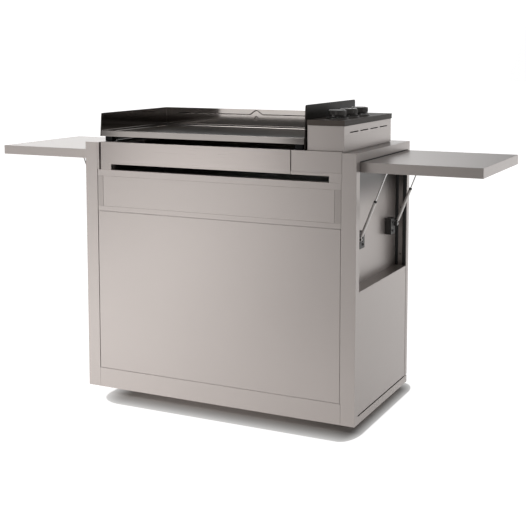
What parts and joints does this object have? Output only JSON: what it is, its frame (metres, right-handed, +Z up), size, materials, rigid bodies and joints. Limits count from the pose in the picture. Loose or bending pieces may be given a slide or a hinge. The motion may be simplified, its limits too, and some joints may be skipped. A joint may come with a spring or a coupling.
{
  "type": "flat top griddle",
  "caption": "Gas flat-top griddle on a closed steel trolley with folding side shelves on gas struts, a door, a drawer, a grease tray, push-and-turn knobs and swivel casters.",
  "frame": {"origin": "on the floor, under the middle of the trolley and its raised shelves", "axes": "+X to the operator's right along the plate, +Y from the operator's side to the back, +Z up"},
  "size_m": [1.854, 0.545, 1.086],
  "materials": {
    "cabinet_steel": "satin, warm grey, fine brushed grain",
    "chassis_steel": "fine brushed, satin",
    "bright_steel": "bright brushed along its length",
    "black_enamel": "gloss vitreous enamel",
    "dark_cover": "fine-textured dark powder coat",
    "knob_plastic": "satin, moulded",
    "black_bracket": "matt black, moulded",
    "strut_paint": "satin silver-grey",
    "chrome_rod": "polished",
    "zinc_steel": "bright zinc plate",
    "burner_steel": "stainless tube, heat-tinted",
    "brass": "turned, lightly tarnished",
    "wheel_rubber": "matt grey-black tread"
  },
  "bodies": {
    "cabinet": {"side_frame_left": "cabinet_steel", "recess_panel_left": "cabinet_steel", "lower_side_panel_left": "cabinet_steel", "drawer_runner_left": "zinc_steel", "side_frame_right": "cabinet_steel", "recess_panel_right": "cabinet_steel", "lower_side_panel_right": "cabinet_steel", "drawer_runner_right": "zinc_steel", "strut_bracket_front_left": "black_bracket", "strut_bracket_rear_left": "black_bracket", "strut_bracket_front_right": "black_bracket", "strut_bracket_rear_right": "black_bracket", "base_tray": "cabinet_steel", "front_bottom_rail": "cabinet_steel", "mid_rail": "cabinet_steel", "front_top_rail": "cabinet_steel", "back_panel": "cabinet_steel", "griddle_chassis": "chassis_steel", "griddle_plate": "black_enamel", "splash_guard": "black_enamel", "heat_shield": "black_enamel", "control_housing": "chassis_steel", "control_cover": "dark_cover", "gas_manifold": "brass", "burner_front": "burner_steel", "burner_middle": "burner_steel", "burner_rear": "burner_steel"},
    "shelf_left": {"shelf_left": "cabinet_steel", "shelf_hinge_rod_left": "zinc_steel", "shelf_stay_bar_left": "zinc_steel"},
    "shelf_right": {"shelf_right": "cabinet_steel", "shelf_hinge_rod_right": "zinc_steel", "shelf_stay_bar_right": "zinc_steel"},
    "strut_cylinder_front_left": {"strut_cylinder_front_left": "strut_paint"},
    "strut_rod_front_left": {"strut_rod_front_left": "chrome_rod"},
    "strut_cylinder_rear_left": {"strut_cylinder_rear_left": "strut_paint"},
    "strut_rod_rear_left": {"strut_rod_rear_left": "chrome_rod"},
    "strut_cylinder_front_right": {"strut_cylinder_front_right": "strut_paint"},
    "strut_rod_front_right": {"strut_rod_front_right": "chrome_rod"},
    "strut_cylinder_rear_right": {"strut_cylinder_rear_right": "strut_paint"},
    "strut_rod_rear_right": {"strut_rod_rear_right": "chrome_rod"},
    "door": {"door": "cabinet_steel", "door_pivot_rod": "zinc_steel"},
    "drawer": {"drawer_front": "cabinet_steel", "drawer_box": "zinc_steel"},
    "grease_tray": {"grease_tray": "bright_steel"},
    "valve_stem_front": {"valve_stem_front": "zinc_steel"},
    "knob_front": {"knob_front": "knob_plastic"},
    "valve_stem_middle": {"valve_stem_middle": "zinc_steel"},
    "knob_middle": {"knob_middle": "knob_plastic"},
    "valve_stem_rear": {"valve_stem_rear": "zinc_steel"},
    "knob_rear": {"knob_rear": "knob_plastic"},
    "caster_fork_front_left": {"caster_fork_front_left": "zinc_steel"},
    "caster_wheel_front_left": {"caster_wheel_front_left": "wheel_rubber"},
    "caster_fork_front_right": {"caster_fork_front_right": "zinc_steel"},
    "caster_wheel_front_right": {"caster_wheel_front_right": "wheel_rubber"},
    "caster_fork_rear_left": {"caster_fork_rear_left": "zinc_steel"},
    "caster_wheel_rear_left": {"caster_wheel_rear_left": "wheel_rubber"},
    "caster_fork_rear_right": {"caster_fork_rear_right": "zinc_steel"},
    "caster_wheel_rear_right": {"caster_wheel_rear_right": "wheel_rubber"}
  },
  "joints": [
    {"name": "shelf_left_fold", "type": "hinge", "parent": "cabinet", "child": "shelf_left", "pos_m": [-0.517, 0, 0.896], "axis": [0, -1, 0], "range_deg": [0, 90]},
    {"name": "shelf_right_fold", "type": "hinge", "parent": "cabinet", "child": "shelf_right", "pos_m": [0.517, 0, 0.896], "axis": [0, 1, 0], "range_deg": [0, 90]},
    {"name": "strut_front_left_swing", "type": "hinge", "parent": "cabinet", "child": "strut_cylinder_front_left", "pos_m": [-0.507, -0.185, 0.64], "axis": [0, 1, 0], "range_deg": [0, 23.7]},
    {"name": "strut_front_left_stroke", "type": "slide", "parent": "strut_cylinder_front_left", "child": "strut_rod_front_left", "axis": [0.368, 0, -0.9298], "range_m": [0, 0.08721]},
    {"name": "strut_rear_left_swing", "type": "hinge", "parent": "cabinet", "child": "strut_cylinder_rear_left", "pos_m": [-0.507, 0.185, 0.64], "axis": [0, 1, 0], "range_deg": [0, 23.7]},
    {"name": "strut_rear_left_stroke", "type": "slide", "parent": "strut_cylinder_rear_left", "child": "strut_rod_rear_left", "axis": [0.368, 0, -0.9298], "range_m": [0, 0.08721]},
    {"name": "strut_front_right_swing", "type": "hinge", "parent": "cabinet", "child": "strut_cylinder_front_right", "pos_m": [0.507, -0.185, 0.64], "axis": [0, -1, 0], "range_deg": [0, 23.7]},
    {"name": "strut_front_right_stroke", "type": "slide", "parent": "strut_cylinder_front_right", "child": "strut_rod_front_right", "axis": [-0.368, 0, -0.9298], "range_m": [0, 0.08721]},
    {"name": "strut_rear_right_swing", "type": "hinge", "parent": "cabinet", "child": "strut_cylinder_rear_right", "pos_m": [0.507, 0.185, 0.64], "axis": [0, -1, 0], "range_deg": [0, 23.7]},
    {"name": "strut_rear_right_stroke", "type": "slide", "parent": "strut_cylinder_rear_right", "child": "strut_rod_rear_right", "axis": [-0.368, 0, -0.9298], "range_m": [0, 0.08721]},
    {"name": "door_swing", "type": "hinge", "parent": "cabinet", "child": "door", "pos_m": [-0.458, -0.266, 0.393], "axis": [0, 0, 1], "range_deg": [-100, 0]},
    {"name": "drawer_slide", "type": "slide", "parent": "cabinet", "child": "drawer", "axis": [0, -1, 0], "range_m": [0, 0.3]},
    {"name": "grease_tray_slide", "type": "slide", "parent": "cabinet", "child": "grease_tray", "axis": [0, -1, 0], "range_m": [0, 0.35]},
    {"name": "knob_front_push", "type": "slide", "parent": "cabinet", "child": "valve_stem_front", "axis": [0, 0, -1], "range_m": [0, 0.0035], "stiffness_N_per_m": 2000, "springref_m": -0.001},
    {"name": "knob_front_turn", "type": "hinge", "parent": "valve_stem_front", "child": "knob_front", "pos_m": [0.413, -0.162, 1.055], "axis": [0, 0, 1], "range_deg": [0, 210]},
    {"name": "knob_middle_push", "type": "slide", "parent": "cabinet", "child": "valve_stem_middle", "axis": [0, 0, -1], "range_m": [0, 0.0035], "stiffness_N_per_m": 2000, "springref_m": -0.001},
    {"name": "knob_middle_turn", "type": "hinge", "parent": "valve_stem_middle", "child": "knob_middle", "pos_m": [0.413, -0.058, 1.055], "axis": [0, 0, 1], "range_deg": [0, 210]},
    {"name": "knob_rear_push", "type": "slide", "parent": "cabinet", "child": "valve_stem_rear", "axis": [0, 0, -1], "range_m": [0, 0.0035], "stiffness_N_per_m": 2000, "springref_m": -0.001},
    {"name": "knob_rear_turn", "type": "hinge", "parent": "valve_stem_rear", "child": "knob_rear", "pos_m": [0.413, 0.046, 1.055], "axis": [0, 0, 1], "range_deg": [0, 210]},
    {"name": "caster_front_left_swivel", "type": "hinge", "parent": "cabinet", "child": "caster_fork_front_left", "pos_m": [-0.385, -0.165, 0.09], "axis": [0, 0, 1], "continuous": true},
    {"name": "caster_front_left_roll", "type": "hinge", "parent": "caster_fork_front_left", "child": "caster_wheel_front_left", "pos_m": [-0.385, -0.137, 0.0375], "axis": [1, 0, 0], "continuous": true},
    {"name": "caster_front_right_swivel", "type": "hinge", "parent": "cabinet", "child": "caster_fork_front_right", "pos_m": [0.385, -0.165, 0.09], "axis": [0, 0, 1], "continuous": true},
    {"name": "caster_front_right_roll", "type": "hinge", "parent": "caster_fork_front_right", "child": "caster_wheel_front_right", "pos_m": [0.385, -0.137, 0.0375], "axis": [1, 0, 0], "continuous": true},
    {"name": "caster_rear_left_swivel", "type": "hinge", "parent": "cabinet", "child": "caster_fork_rear_left", "pos_m": [-0.385, 0.165, 0.09], "axis": [0, 0, 1], "continuous": true},
    {"name": "caster_rear_left_roll", "type": "hinge", "parent": "caster_fork_rear_left", "child": "caster_wheel_rear_left", "pos_m": [-0.385, 0.193, 0.0375], "axis": [1, 0, 0], "continuous": true},
    {"name": "caster_rear_right_swivel", "type": "hinge", "parent": "cabinet", "child": "caster_fork_rear_right", "pos_m": [0.385, 0.165, 0.09], "axis": [0, 0, 1], "continuous": true},
    {"name": "caster_rear_right_roll", "type": "hinge", "parent": "caster_fork_rear_right", "child": "caster_wheel_rear_right", "pos_m": [0.385, 0.193, 0.0375], "axis": [1, 0, 0], "continuous": true}
  ],
  "couplings": [
    {"joint": "strut_front_left_swing", "follows": "shelf_left_fold", "ratio": 0.26228},
    {"joint": "strut_front_left_stroke", "follows": "shelf_left_fold", "m_per_rad": 0.055394},
    {"joint": "strut_rear_left_swing", "follows": "shelf_left_fold", "ratio": 0.26228},
    {"joint": "strut_rear_left_stroke", "follows": "shelf_left_fold", "m_per_rad": 0.055394},
    {"joint": "strut_front_right_swing", "follows": "shelf_right_fold", "ratio": 0.26228},
    {"joint": "strut_front_right_stroke", "follows": "shelf_right_fold", "m_per_rad": 0.055394},
    {"joint": "strut_rear_right_swing", "follows": "shelf_right_fold", "ratio": 0.26228},
    {"joint": "strut_rear_right_stroke", "follows": "shelf_right_fold", "m_per_rad": 0.055394}
  ]
}
